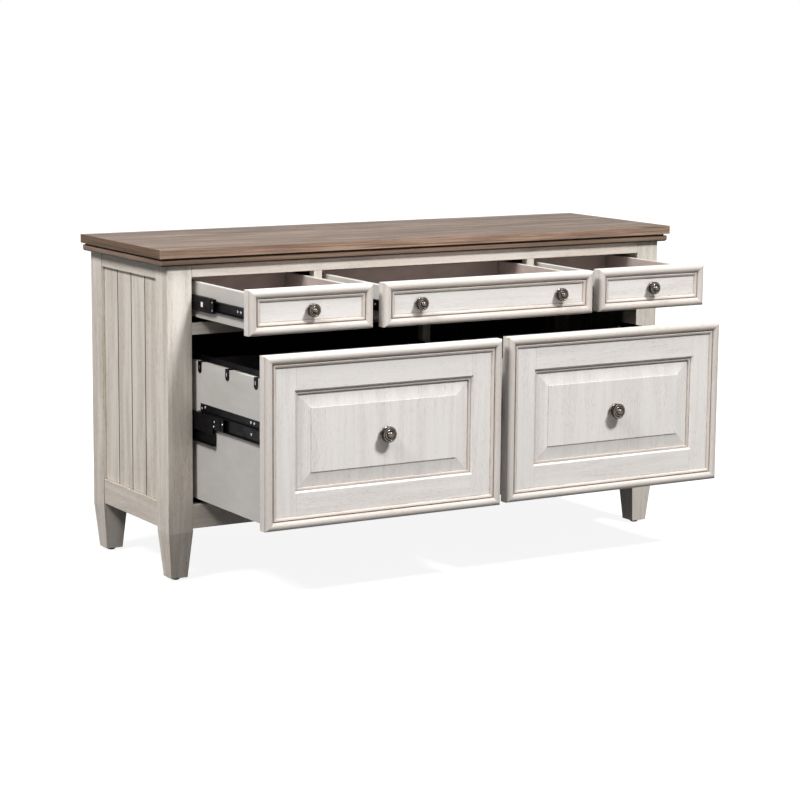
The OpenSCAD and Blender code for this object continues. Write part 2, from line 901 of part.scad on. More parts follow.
// The sloping part of a raised panel
module bevelled(x0, x1, back, front) {
  intersection() {
    translate([0, 0, panel_z[0]]) linear_extrude(height = panel_z[1] - panel_z[0])
      polygon([[x0, back], [x1, back], [x1, back - 2 * bevel_edge], [x1 - bevel_wide, front],
        [x0 + bevel_wide, front], [x0, back - 2 * bevel_edge]]);
    along_x(x0, x1)
      polygon([[back, panel_z[0]], [back, panel_z[1]], [back - 2 * bevel_edge, panel_z[1]],
        [front, panel_z[1] - bevel_wide], [front, panel_z[0] + bevel_wide],
        [back - 2 * bevel_edge, panel_z[0]]]);
  }
}

// Room for the raised panel inside the frame of a file drawer front
module panel_room(room, out) {
  x = panel_x(room);
  front = post_front - out;
  back = closed_back - out;
  board([x[0], front - clear, panel_z[0]], [x[1], back + clear, panel_z[1]]);
  board([x[0] - panel_tongue, back - panel_back - tongue_thick, panel_z[0] - panel_tongue],
    [x[1] + panel_tongue, back - panel_back, panel_z[1] + panel_tongue]);
  flared(x[0], x[1], panel_z[0], panel_z[1], front + edge_chamfer, front - clear, edge_chamfer + clear);
}

module file_frame(room, out) {
  x0 = room[0] + reveal;
  x1 = room[1] - reveal;
  x = panel_x(room);
  front = post_front - out;
  back = closed_back - out;
  color([0.88, 0.87, 0.84]) {
    difference() {
      union() {
        board([x0, front, file_low], [x[0], back, file_high]);
        board([x[1], front, file_low], [x1, back, file_high]);
      }
      panel_room(room, out);
      file_rail_tenons(x, back, 0);
    }
    difference() {
      union() {
        board([x[0] + glue, front, file_low], [x[1] - glue, back, panel_z[0]]);
        board([x[0] + glue, front, panel_z[1]], [x[1] - glue, back, file_high]);
        file_rail_tenons(x, back, glue);
      }
      panel_room(room, out);
    }
  }
}

// Tenons of the rails of a file drawer front, smaller by play than their mortises
module file_rail_tenons(x, back, play) {
  for (z = [file_low + tenon_edge, panel_z[1] + panel_tongue + tenon_edge])
    board([x[0] - tenon_long + play, back - panel_back - tongue_thick + play, z + play],
      [x[1] + tenon_long - play, back - panel_back - play,
        z + front_rail_high - panel_tongue - 2 * tenon_edge - play]);
}

module file_trim(room, out) {
  color([0.9, 0.89, 0.86])
    trim(room[0] + reveal, room[1] - reveal, file_low, file_high, post_front - out);
}

module file_box(room, out) {
  top = file_box_low + file_box_high;
  y0 = closed_back - out;
  color([0.78, 0.77, 0.74]) difference() {
    box_sides(room, out, file_box_low, top);
    for (y = notch_list) {
      along_x(room[0], room[1]) translate([y0 + y, top - notch_deep + notch_wide / 2])
        circle(d = notch_wide, $fn = round_steps);
      board([room[0], y0 + y - notch_wide / 2, top - notch_deep + notch_wide / 2],
        [room[1], y0 + y + notch_wide / 2, top + clear]);
    }
  }
}

module file_bottom(room, out) {
  color([0.62, 0.58, 0.53]) box_floor(room, out, file_box_low);
}

// File hanger strips inside both sides, each with clips that sit in the notches
module file_hangers(room, out) {
  top = file_box_low + file_box_high;
  y0 = closed_back - out;
  half = notch_wide / 2 - clip_play;
  color([0.1, 0.1, 0.11]) for (end = [0, 1]) {
    x = end == 0 ? room[0] + runner_room : room[1] - runner_room;
    s = end == 0 ? 1 : -1;
    inner = x + s * wall;
    strip = [inner, inner + s * strip_thick];
    clip = [x - s * clip_out, inner + s * strip_thick];
    board([min(strip), y0 + wall, top - strip_below], [max(strip), y0 + box_long - wall, top + hanger_rise]);
    for (y = notch_list) {
      board([min(clip), y0 + y - half, top - notch_deep + notch_wide / 2], [max(clip), y0 + y + half, top + 1]);
      along_x(min(clip), max(clip)) translate([y0 + y, top - notch_deep + notch_wide / 2])
        circle(r = half, $fn = round_steps);
    }
  }
}

module file_knobs(room, out) {
  face = post_front - out + field_back;
  color([0.3, 0.28, 0.25])
    knob((room[0] + room[1]) / 2, face, (file_low + file_high) / 2, file_knob);
}

// Pieces of each drawer

module upper_left_front() { upper_front(upper_left_room, open_upper_left); }
module upper_left_trim() { upper_trim(upper_left_room, open_upper_left); }
module upper_left_box() { upper_box(upper_left_room, open_upper_left); }
module upper_left_bottom() { upper_bottom(upper_left_room, open_upper_left); }
module upper_left_knob() { upper_knobs(upper_left_room, open_upper_left, 0); }
module upper_left_box_runners() { upper_box_runners(upper_left_room, open_upper_left); }
module upper_left_middle_runners() { upper_middle_runners(upper_left_room, open_upper_left); }

module upper_middle_front() { upper_front(upper_middle_room, open_upper_middle); }
module upper_middle_trim() { upper_trim(upper_middle_room, open_upper_middle); }
module upper_middle_box() { upper_box(upper_middle_room, open_upper_middle); }
module upper_middle_bottom() { upper_bottom(upper_middle_room, open_upper_middle); }
module upper_middle_knobs() { upper_knobs(upper_middle_room, open_upper_middle, knob_spread); }
module upper_middle_box_runners() { upper_box_runners(upper_middle_room, open_upper_middle); }
module upper_middle_middle_runners() { upper_middle_runners(upper_middle_room, open_upper_middle); }

module upper_right_front() { upper_front(upper_right_room, open_upper_right); }
module upper_right_trim() { upper_trim(upper_right_room, open_upper_right); }
module upper_right_box() { upper_box(upper_right_room, open_upper_right); }
module upper_right_bottom() { upper_bottom(upper_right_room, open_upper_right); }
module upper_right_knob() { upper_knobs(upper_right_room, open_upper_right, 0); }
module upper_right_box_runners() { upper_box_runners(upper_right_room, open_upper_right); }
module upper_right_middle_runners() { upper_middle_runners(upper_right_room, open_upper_right); }

module file_left_frame() { file_frame(file_left_room, open_file_left); }
module file_left_panel() { file_panel(file_left_room, open_file_left); }
module file_left_trim() { file_trim(file_left_room, open_file_left); }
module file_left_box() { file_box(file_left_room, open_file_left); }
module file_left_bottom() { file_bottom(file_left_room, open_file_left); }
module file_left_hangers() { file_hangers(file_left_room, open_file_left); }
module file_left_knob() { file_knobs(file_left_room, open_file_left); }
module file_left_box_runners() { file_box_runners(file_left_room, open_file_left); }
module file_left_middle_runners() { file_middle_runners(file_left_room, open_file_left); }

module file_right_frame() { file_frame(file_right_room, open_file_right); }
module file_right_panel() { file_panel(file_right_room, open_file_right); }
module file_right_trim() { file_trim(file_right_room, open_file_right); }
module file_right_box() { file_box(file_right_room, open_file_right); }
module file_right_bottom() { file_bottom(file_right_room, open_file_right); }
module file_right_hangers() { file_hangers(file_right_room, open_file_right); }
module file_right_knob() { file_knobs(file_right_room, open_file_right); }
module file_right_box_runners() { file_box_runners(file_right_room, open_file_right); }
module file_right_middle_runners() { file_middle_runners(file_right_room, open_file_right); }

top_board();
top_frame();
front_posts();
back_posts();
side_top_rails();
side_bottom_rails();
side_panels();
front_top_rail();
front_mid_rail();
front_bottom_rail();
front_dividers();
upper_partitions();
centre_partition();
back_panel();
back_rails();
dust_panels();
runner_cleats();
corner_blocks();
foot_glides();
upper_case_runners();
file_case_runners();
upper_left_front();
upper_left_trim();
upper_left_box();
upper_left_bottom();
upper_left_knob();
upper_left_box_runners();
upper_left_middle_runners();
upper_middle_front();
upper_middle_trim();
upper_middle_box();
upper_middle_bottom();
upper_middle_knobs();
upper_middle_box_runners();
upper_middle_middle_runners();
upper_right_front();
upper_right_trim();
upper_right_box();
upper_right_bottom();
upper_right_knob();
upper_right_box_runners();
upper_right_middle_runners();
file_left_frame();
file_left_panel();
file_left_trim();
file_left_box();
file_left_bottom();
file_left_hangers();
file_left_knob();
file_left_box_runners();
file_left_middle_runners();
file_right_frame();
file_right_panel();
file_right_trim();
file_right_box();
file_right_bottom();
file_right_hangers();
file_right_knob();
file_right_box_runners();
file_right_middle_runners();
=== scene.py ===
"""Looks of the credenza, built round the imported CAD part. Metres, the part's own frame."""

import json
import math
import random

import bmesh
import bpy
from mathutils import Matrix, Vector, noise


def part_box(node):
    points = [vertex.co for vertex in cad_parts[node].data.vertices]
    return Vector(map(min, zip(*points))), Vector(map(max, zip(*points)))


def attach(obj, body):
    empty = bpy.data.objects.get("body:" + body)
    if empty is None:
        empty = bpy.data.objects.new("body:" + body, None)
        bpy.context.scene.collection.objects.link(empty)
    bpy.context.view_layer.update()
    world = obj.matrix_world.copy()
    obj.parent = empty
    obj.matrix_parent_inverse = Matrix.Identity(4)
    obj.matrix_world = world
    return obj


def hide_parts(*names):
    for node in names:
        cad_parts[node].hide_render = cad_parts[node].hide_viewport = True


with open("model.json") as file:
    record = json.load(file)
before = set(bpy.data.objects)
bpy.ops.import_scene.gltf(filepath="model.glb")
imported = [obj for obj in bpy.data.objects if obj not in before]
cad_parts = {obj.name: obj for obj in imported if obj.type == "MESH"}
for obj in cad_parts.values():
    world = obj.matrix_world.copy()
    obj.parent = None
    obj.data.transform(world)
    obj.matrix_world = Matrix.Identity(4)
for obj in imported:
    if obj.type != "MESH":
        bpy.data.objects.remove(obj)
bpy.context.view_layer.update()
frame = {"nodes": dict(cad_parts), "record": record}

scene = bpy.context.scene
NODES = frame["nodes"]
BODY = {node: body for body, nodes in frame["record"]["behaviour"]["bodies"].items() for node in nodes}
DRAWERS = ("upper_left", "upper_middle", "upper_right", "file_left", "file_right")
X, Y, Z = range(3)
MM = 0.001

# Materials


def rgb(*levels):
    """An sRGB colour, 0 to 255, as the linear values that shaders take."""
    toe = 10
    return (*(n / 255 / 12.92 if n <= toe else ((n / 255 + 0.055) / 1.055) ** 2.4 for n in levels), 1.0)


def darker(colour, share):
    return (*(c * share for c in colour[:3]), 1.0)


class Web:
    """The node tree of a new material or world, written as expressions."""

    def __init__(self, owner):
        owner.use_nodes = True
        self.owner = owner
        self.tree = owner.node_tree
        self.tree.nodes.clear()

    def node(self, kind, inputs=None, out=0, **props):
        """Adds a node, sets or links its inputs, and gives the output with the name or number out."""
        node = self.tree.nodes.new("ShaderNode" + kind)
        for key, value in props.items():
            setattr(node, key, value)
        for key, value in (inputs or {}).items():
            if isinstance(value, bpy.types.NodeSocket):
                self.tree.links.new(value, node.inputs[key])
            else:
                node.inputs[key].default_value = value
        return node.outputs[out] if node.outputs else None

    def math(self, operation, a, b):
        return self.node("Math", {0: a, 1: b}, operation=operation)

    def product(self, first, *rest):
        for factor in rest:
            first = self.math("MULTIPLY", first, factor)
        return first

    def grain(self):
        """The place in the board: along, across and through, in metres."""
        return self.node("Attribute", out="Vector", attribute_name="grain")

    def value(self, name):
        return self.node("Attribute", out="Fac", attribute_name=name)

    def noise(self, place, scale=1.0, detail=3.0, rough=0.6, twist=0.0):
        inputs = {"Vector": place, "Scale": scale, "Detail": detail, "Roughness": rough, "Distortion": twist}
        return self.node("TexNoise", inputs)

    def streaks(self, grain, along, across, **texture):
        """Noise with its own scale along the grain and across it."""
        place = self.node("VectorMath", {0: grain, 1: (along, across, across)}, operation="MULTIPLY")
        return self.noise(place, **texture)

    def band(self, x, low, high, a=0.0, b=1.0):
        """A soft step from a to b where x goes from low to high."""
        return self.node("MapRange", {0: x, 1: low, 2: high, 3: a, 4: b}, interpolation_type="SMOOTHSTEP")

    def over(self, base, colour, *masks):
        """Lays a colour over base, as far as the product of the masks says."""
        return self.node("Mix", {0: self.product(*masks), 6: base, 7: colour}, out=2, data_type="RGBA")

    def arris(self, radius):
        """1 near an edge of the mesh, 0 away from it."""
        eased = self.node("Bevel", {"Radius": radius}, samples=4)
        plain = self.node("NewGeometry", out="Normal")
        dot = self.node("VectorMath", {0: eased, 1: plain}, out="Value", operation="DOT_PRODUCT")
        return self.math("SUBTRACT", 1.0, dot)

    def hollow(self, distance):
        """1 deep in a corner, 0 in the open."""
        light = self.node("AmbientOcclusion", {"Distance": distance}, out="AO", samples=5)
        return self.math("SUBTRACT", 1.0, light)

    def seen(self):
        """1 for the camera and for what shiny or clear things show of it, 0 for the light's own rays."""
        rays = ("Is Camera Ray", "Is Glossy Ray", "Is Transmission Ray")
        camera, glossy, through = (self.node("LightPath", out=ray) for ray in rays)
        return self.math("MAXIMUM", self.math("MAXIMUM", camera, glossy), through)

    def surface(self, colour, rough, height, deep, metal=0.0, plain=None):
        """The finished material. plain holds further sockets of the shader with their numbers."""
        normal = self.node("Bump", {"Strength": 1.0, "Distance": deep, "Height": height})
        inputs = {"Base Color": colour, "Roughness": rough, "Metallic": metal, "Normal": normal}
        inputs.update(plain or {})
        self.node("OutputMaterial", {"Surface": self.node("BsdfPrincipled", inputs)})
        return self.owner


def washed(name, paint, shade, wood, dark, cover, wear, glaze_and_shade=0.75):
    """Paint brushed over open grain: wood shows in short flecks and at the edges. The corners take wood
    colour and dark, as glaze and as painted shade.
    """
    w = Web(bpy.data.materials.new(name))
    grain = w.grain()
    tone = w.value("tone")
    fleck = w.streaks(grain, 75, 430, detail=3, rough=0.62, twist=0.2)
    fibres = w.streaks(grain, 9, 560, detail=3, rough=0.6)
    bands = w.streaks(grain, 2.4, 34, detail=4, rough=0.62, twist=0.5)
    pores = w.streaks(grain, 60, 1400, detail=2, rough=0.5)
    cloud = w.streaks(grain, 6, 13, detail=3, rough=0.55)
    chip = w.streaks(grain, 30, 140, detail=4, rough=0.7)
    base = w.over(paint, shade, w.band(bands, 0.38, 0.62), 0.9)
    base = w.over(base, shade, tone, 0.45)
    thin = w.band(w.math("ADD", w.product(cloud, 0.6), w.product(bands, 0.6)), 0.50, 0.78, 0.22, 1.0)
    base = w.over(base, wood, w.band(fleck, 0.50, 0.72), thin, cover)
    base = w.over(base, wood, w.band(fibres, 0.52, 0.74), thin, cover * 0.6)
    base = w.over(base, dark, w.band(pores, 0.60, 0.74), 0.14)
    edge = w.product(w.band(w.arris(4 * MM), 0.012, 0.14), w.band(chip, 0.42, 0.62, 0.10, 1.0))
    base = w.over(base, wood, edge, wear)
    # The corners, as far as they are shut in, take wood colour and then the dark: glaze and painted shade.
    hollow = w.hollow(6 * MM)
    base = w.over(base, wood, w.band(hollow, 0.30, 0.60), w.band(chip, 0.35, 0.6, 0.35, 1.0), 0.55)
    base = w.over(base, dark, w.band(hollow, 0.45, 0.80), glaze_and_shade)
    rough = w.band(w.math("ADD", fleck, w.product(edge, 0.3)), 0.3, 0.8, 0.48, 0.70)
    height = w.math("ADD", w.product(fleck, -0.5), w.product(fibres, -0.5))
    return w.surface(base, rough, height, 0.3 * MM, plain={"IOR": 1.45, "Specular IOR Level": 0.3})


def stained(name, light, mid, dark, haze, rough_low, rough_high, wear=0.5, streak=0.72, veil=0.62, under=0.5):
    """Weathered stained wood: long grain, pale haze on the high spots, dark pores, darker end faces. Corners
    and creases darken as painted shade, and so does the underside of the moulding, which is marked like an
    end face.
    """
    w = Web(bpy.data.materials.new(name))
    grain = w.grain()
    tone = w.value("tone")
    fibres = w.streaks(grain, 5, 330, detail=5, rough=0.68, twist=0.35)
    bands = w.streaks(grain, 1.9, 30, detail=4, rough=0.62, twist=0.6)
    pores = w.streaks(grain, 45, 950, detail=2, rough=0.5)
    cloud = w.streaks(grain, 4, 16, detail=3, rough=0.6)
    crack = w.streaks(grain, 2.6, 75, detail=3, rough=0.55, twist=0.4)
    base = w.over(light, mid, w.band(bands, 0.40, 0.60))
    base = w.over(base, dark, w.band(fibres, 0.42, 0.68), streak)
    high_spots = w.band(w.math("SUBTRACT", 1.0, fibres), 0.50, 0.72)
    base = w.over(base, haze, high_spots, w.band(cloud, 0.38, 0.66, 0.05, veil))
    base = w.over(base, dark, w.band(crack, 0.56, 0.68), streak)
    base = w.over(base, dark, w.band(pores, 0.56, 0.72), 0.5 * streak)
    base = w.over(base, mid, tone, 0.4)
    base = w.over(base, light, w.band(w.arris(3 * MM), 0.02, 0.2), wear)
    # End faces darken; the moulding's underside, marked the same way, darkens as painted shade.
    base = w.over(base, darker(dark, 0.4) if under > 0.9 else dark, w.value("end"), under)
    # Painted shade: corners and creases darken.
    base = w.over(base, darker(dark, 0.2), w.band(w.hollow(6 * MM), 0.40, 0.85), 0.85)
    rough = w.band(fibres, 0.3, 0.75, rough_low, rough_high)
    height = w.math("ADD", w.product(fibres, -0.8), w.product(pores, -0.5))
    return w.surface(base, rough, height, 0.4 * MM, plain={"IOR": 1.45, "Specular IOR Level": 0.25})


def sprayed(name, colour, stain, rough=0.45, speck=0.25):
    """Smooth lacquer on a made board: faint mottle, a rubbed arris, and dust with painted shade in the
    corners.
    """
    w = Web(bpy.data.materials.new(name))
    grain = w.grain()
    mottle = w.streaks(grain, 9, 22, detail=4, rough=0.6)
    peel = w.noise(grain, scale=620, detail=2, rough=0.5)
    rub = w.streaks(grain, 14, 90, detail=3, rough=0.6)
    base = w.over(colour, stain, w.band(mottle, 0.35, 0.68), speck)
    base = w.over(base, stain, w.band(w.arris(2 * MM), 0.03, 0.2), w.band(rub, 0.42, 0.64), 0.35)
    # Dust and painted shade: the corners darken.
    base = w.over(base, darker(stain, 0.3), w.band(w.hollow(8 * MM), 0.45, 0.9), 0.4)
    gloss = w.band(mottle, 0.3, 0.7, rough - 0.06, rough + 0.1)
    return w.surface(base, gloss, peel, 0.12 * MM, plain={"IOR": 1.45})


def coated_steel(name, colour, rub, rough, metal, shine=0.5):
    """Coated sheet steel: long drag marks, rubbed edges, a film of grease."""
    w = Web(bpy.data.materials.new(name))
    grain = w.grain()
    drag = w.streaks(grain, 5, 700, detail=3, rough=0.6)
    film = w.streaks(grain, 30, 60, detail=3, rough=0.6)
    base = w.over(colour, rub, w.band(drag, 0.56, 0.74), 0.5)
    base = w.over(base, rub, w.band(w.arris(0.7 * MM), 0.03, 0.3), w.band(film, 0.38, 0.6), 0.7)
    gloss = w.band(film, 0.3, 0.7, rough - 0.08, rough + 0.14)
    return w.surface(base, gloss, drag, 0.06 * MM, metal, {"Specular IOR Level": shine})


def cast_metal(name, colour, bright, dark, rough):
    """Aged cast metal: black in the grooves between the rings, brighter where fingers rub it. The tone of
    each face darkens bands: patina in the rings, painted reflection and shade on the rims.
    """
    w = Web(bpy.data.materials.new(name))
    grain = w.grain()
    age = w.noise(grain, scale=180, detail=3, rough=0.55)
    fine = w.noise(grain, scale=1300, detail=2, rough=0.5)
    base = w.over(colour, dark, w.band(age, 0.38, 0.68), 0.45)
    base = w.over(base, bright, w.band(w.arris(0.9 * MM), 0.03, 0.22), 0.8)
    # Painted reflection and shade on the rims, patina in the rings: the tone darkens them.
    base = w.over(base, dark, w.value("tone"), w.band(age, 0.2, 0.8, 1.0, 0.86))
    base = w.over(base, dark, w.band(w.hollow(3 * MM), 0.45, 0.9), 0.45)
    gloss = w.band(age, 0.3, 0.7, rough - 0.05, rough + 0.10)
    return w.surface(base, gloss, w.math("ADD", age, w.product(fine, 0.4)), 0.04 * MM, metal=1.0)


# Paint, its shade, the wood under it, the dark of its pores and of the glaze and painted shade in its
# corners; how much wood shows, how worn the edges are
# The frame's paint is warmer and darker than the front's: partly the frame's own tone, partly painted shade
# for its side faces.
WHITE_FRAME = washed(
    "white_frame", rgb(232, 226, 218), rgb(209, 201, 190), rgb(166, 147, 128), rgb(80, 63, 53), 0.72, 0.78
)
WHITE_FRONT = washed(
    "white_front", rgb(233, 230, 227), rgb(223, 219, 215), rgb(178, 160, 148), rgb(84, 68, 59), 0.55, 0.66
)
# Painted shade: the trim is a darker copy of the front's paint, so that its noses, which face the lamps, do
# not burn out; its brown dark tints the shade in its creases.
SHADED_WHITE_TRIM = washed(
    "shaded_white_trim", rgb(211, 206, 201), rgb(201, 194, 187), rgb(165, 144, 128), rgb(156, 124, 107), 0.62, 0.66,
    glaze_and_shade=0.45,
)

# Light, middle and dark of the stain, the haze; least and most roughness
BROWN_EDGE = stained(
    "brown_top", rgb(168, 142, 122), rgb(136, 113, 98), rgb(74, 58, 48), rgb(190, 173, 157), 0.50, 0.68
)
# Painted shade: the upward face of the top is a darker copy of the edge stain, against the stronger light it
# catches, with heavier streaks.
BROWN_FACE_SHADED = stained(
    "brown_top_face_shaded", rgb(136, 118, 104), rgb(103, 88, 77), rgb(44, 35, 30), rgb(162, 151, 141), 0.50, 0.68,
    wear=0.3, streak=0.85, veil=0.7,
)
# The moulding's stain paints its marked underside near black, as painted shade.
BROWN_SIDE = stained(
    "brown_moulding", rgb(146, 123, 105), rgb(118, 98, 83), rgb(60, 46, 37), rgb(166, 149, 134), 0.52, 0.70,
    under=1.0,
)
BROWN_END = stained(
    "brown_top_end", rgb(121, 97, 77), rgb(97, 76, 59), rgb(38, 29, 22), rgb(140, 120, 99), 0.55, 0.72,
    wear=0.4,
)
# Near black, for the parts inside the case: partly a dark stain, partly painted shade where the case is shut
# in.
INNER_STAIN_AND_SHADE = stained(
    "inner_wood", rgb(28, 25, 22), rgb(21, 18, 16), rgb(11, 9, 8), rgb(36, 32, 29), 0.6, 0.8, wear=0.2
)
RAW_WOOD = stained(
    "raw_wood", rgb(178, 150, 118), rgb(160, 130, 98), rgb(120, 92, 66), rgb(194, 172, 142), 0.6, 0.8,
    wear=0.3,
)
# Glaze and painted shade for the grooves between the end boards.
GLAZE_AND_SHADE = stained(
    "glaze_and_shade", rgb(136, 119, 107), rgb(120, 103, 92), rgb(84, 70, 61), rgb(150, 134, 122), 0.6, 0.7, wear=0.0
)

BOX_PAINT = sprayed("box_paint", rgb(197, 195, 191), rgb(184, 181, 176), speck=0.5)
# Painted shade: the inside of the upper boxes is a darker, warmer copy of the box paint.
INSIDE_SHADE = sprayed("lining", rgb(178, 166, 162), rgb(148, 136, 131), rough=0.6, speck=0.5)
# Painted shade: the inside of the file boxes is near black.
FILE_INSIDE_SHADE = sprayed("file_inside_shade", rgb(30, 26, 25), rgb(20, 17, 16), rough=0.65, speck=0.5)
PALE_PLASTIC = sprayed("pale_plastic", rgb(236, 238, 240), rgb(206, 208, 210), rough=0.4)
BLACK_STEEL = coated_steel("black_steel", rgb(7, 7, 9), rgb(26, 26, 29), 0.34, 0.0, shine=0.05)
BRIGHT_STEEL = coated_steel("bright_steel", rgb(176, 178, 182), rgb(226, 228, 232), 0.26, 1.0)
BLACK_PLASTIC = coated_steel("black_plastic", rgb(5, 5, 7), rgb(18, 18, 21), 0.38, 0.0, shine=0.05)
PEWTER = cast_metal("pewter", rgb(144, 135, 126), rgb(238, 232, 223), rgb(12, 10, 8), 0.23)

# Mesh tools

WELD = 0.003 * MM
FLAT = math.radians(0.3)
STRIP_STEP = 30 * MM
WAVES_ALONG, WAVES_ACROSS = 14, 60
FULL_WOBBLE_HEIGHT = 2 * MM


def board_layers(bm):
    """The layers that the materials read: grain of each corner, tone of each face, and end, which marks end
    faces and also the moulding's underside that is painted dark as painted shade.
    """
    corners, faces = bm.loops.layers.float_vector, bm.faces.layers.float
    grain = corners.get("grain") or corners.new("grain")
    tone = faces.get("tone") or faces.new("tone")
    end = faces.get("end") or faces.new("end")
    return grain, tone, end


def islands(bm):
    """Groups of faces that hang together, in index order."""
    bm.faces.ensure_lookup_table()
    for f in bm.faces:
        f.tag = False
    groups = []
    for first in bm.faces:
        if first.tag:
            continue
        first.tag = True
        group, stack = [first], [first]
        while stack:
            for e in stack.pop().edges:
                for f in e.link_faces:
                    if not f.tag:
                        f.tag = True
                        group.append(f)
                        stack.append(f)
        groups.append(group)
    return groups


def add_grain(bm, name, axis=None):
    """Gives each board its own grain coordinates and tone, and marks its end faces.

    The grain runs along the axis, or along the board's longest side where none is given."""
    grain, tone, end = board_layers(bm)
    for group in islands(bm):
        points = [v.co for f in group for v in f.verts]
        low = [min(p[i] for p in points) for i in range(3)]
        high = [max(p[i] for p in points) for i in range(3)]
        size = [high[i] - low[i] for i in range(3)]
        along = size.index(max(size)) if axis is None else axis
        across, through = (i for i in range(3) if i != along)
        dice = random.Random(f"{name} {[round(1000 * (low[i] + high[i])) for i in range(3)]}")
        shift = [dice.uniform(0, 9) for _ in range(3)]
        shade = dice.random()
        for f in group:
            f[tone] = shade
            f[end] = 1.0 if abs(f.normal[along]) > 0.9 else 0.0
            for loop in f.loops:
                co = loop.vert.co
                loop[grain] = (co[along] + shift[0], co[across] + shift[1], co[through] + shift[2])


def piece(bm, name, body, materials, stands_for=(), smooth=None):
    """Turns a bmesh into a piece that rides on a body.

    smooth is the sharpest angle, in degrees, that is still shaded round."""
    mesh = bpy.data.meshes.new(name)
    bmesh.ops.recalc_face_normals(bm, faces=bm.faces)
    bm.to_mesh(mesh)
    bm.free()
    for material in materials:
        mesh.materials.append(material)
    if smooth is not None:
        mesh.polygons.foreach_set("use_smooth", [True] * len(mesh.polygons))
        mesh.set_sharp_from_angle(angle=math.radians(smooth))
    ob = bpy.data.objects.new(name, mesh)
    scene.collection.objects.link(ob)
    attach(ob, body)
    if stands_for:
        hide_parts(*stands_for)


def solid_of(node):
    """A clean copy of a CAD node's mesh: flat faces joined, doubled points welded."""
    bm = bmesh.new()
    bm.from_mesh(NODES[node].data)
    for layers in (bm.loops.layers.uv, bm.loops.layers.color):
        for layer in list(layers):
            layers.remove(layer)
    bmesh.ops.remove_doubles(bm, verts=bm.verts, dist=WELD)
    bmesh.ops.dissolve_limit(bm, angle_limit=FLAT, verts=bm.verts, edges=bm.edges)
    return bm


def ease(bm, radius, segments=2, sharper=28.0, pick=lambda e: True):
    """Rounds the corners that are sharper than so many degrees, as a sander does. pick chooses among them."""

    def sharp(e):
        long_enough = e.calc_length() > 2.2 * radius
        return e.is_convex and math.degrees(e.calc_face_angle(0.0)) > sharper and long_enough

    edges = [e for e in bm.edges if len(e.link_faces) == 2 and sharp(e) and pick(e)]
    if edges:
        bmesh.ops.bevel(
            bm,
            geom=edges,
            offset=radius,
            offset_type="OFFSET",
            segments=segments,
            profile=0.6,
            affect="EDGES",
            clamp_overlap=True,
        )


def dress(node, materials, radius, axis=None, segments=2, paint=None, smooth=None):
    """A piece for a CAD node, with eased edges and grain. paint gives the number of a face's material."""
    bm = solid_of(node)
    ease(bm, radius, segments)
    add_grain(bm, node, axis)
    if paint:
        for f in bm.faces:
            f.material_index = paint(f)
    piece(bm, node + "_dressed", BODY[node], materials, (node,), smooth)


def lathe(bm, centre, axis, side, profile, steps):
    """Turns (radius, height) points round an axis. axis and side are unit vectors."""
    axis, side = Vector(axis), Vector(side)
    other = axis.cross(side)
    turns = [2 * math.pi * i / steps for i in range(steps)]
    rings = []
    for r, h in profile:
        foot = centre + axis * h
        points = [foot + side * (r * math.cos(t)) + other * (r * math.sin(t)) for t in turns] if r else [foot]
        rings.append([bm.verts.new(point) for point in points])
    for a, b in zip(rings, rings[1:]):
        for i in range(steps):
            j = (i + 1) % steps
            if len(b) == 1:
                bm.faces.new((a[i], b[0], a[j]))
            else:
                bm.faces.new((a[i], b[i], b[j], a[j]))
    bm.faces.new(rings[0])


def block(bm, low, high):
    """A board between two corners."""
    xs, ys, zs = zip(low, high)
    verts = [bm.verts.new((x, y, z)) for x in xs for y in ys for z in zs]
    for quad in ((0, 1, 3, 2), (4, 6, 7, 5), (0, 4, 5, 1), (2, 3, 7, 6), (0, 2, 6, 4), (1, 5, 7, 3)):
        bm.faces.new([verts[i] for i in quad])


def arc(u, h, radius, first, last, steps):
    """Points of an arc round (u, h) in a profile, angles in degrees."""
    angles = [math.radians(first + (last - first) * i / steps) for i in range(steps + 1)]
    return [(u + radius * math.cos(t), h + radius * math.sin(t)) for t in angles]


def strip(bm, a, b, inward, up, profile, mitre_a, mitre_b, gap, wobble, seed):
    """A moulding from a to b with a closed profile of (inward, up) points.

    Each end is cut back by its mitre times inward."""
    a, b, inward, up = Vector(a), Vector(b), Vector(inward), Vector(up)
    run = b - a
    long = run.length
    run = run / long
    cuts = max(1, round(long / STRIP_STEP))
    grain, tone, _ = board_layers(bm)
    around = [0.0]
    for p, q in zip(profile, profile[1:] + profile[:1]):
        around.append(around[-1] + math.hypot(q[0] - p[0], q[1] - p[1]))
    rings = []
    for k in range(cuts + 1):
        ring = []
        for u, h in profile:
            start, stop = gap + u * mitre_a, long - gap - u * mitre_b
            s = start + (stop - start) * (k / cuts)
            if h > 0:
                wave = noise.noise((s * WAVES_ALONG + seed, u * WAVES_ACROSS, seed))
                h += wobble * min(1.0, h / FULL_WOBBLE_HEIGHT) * wave
            ring.append((bm.verts.new(a + run * s + inward * u + up * h), s))
        rings.append(ring)
    dice = random.Random(f"strip {seed}")
    shade = dice.random()
    shift = [dice.uniform(0, 9) for _ in range(2)]
    for p, q in zip(rings, rings[1:]):
        for i in range(len(profile)):
            j = (i + 1) % len(profile)
            corners = ((p[i], around[i]), (q[i], around[i]), (q[j], around[i + 1]), (p[j], around[i + 1]))
            f = bm.faces.new([vert for (vert, _), _ in corners])
            f[tone] = shade
            for loop, ((_, s), r) in zip(f.loops, corners):
                loop[grain] = (s + shift[0], r + shift[1], seed)
    for ring in (rings[0], rings[-1][::-1]):
        f = bm.faces.new([vert for vert, _ in ring])
        f[tone] = shade
        for loop in f.loops:
            loop[grain] = (shift[0], loop.vert.co.z + shift[1], loop.vert.co.y)


# Case

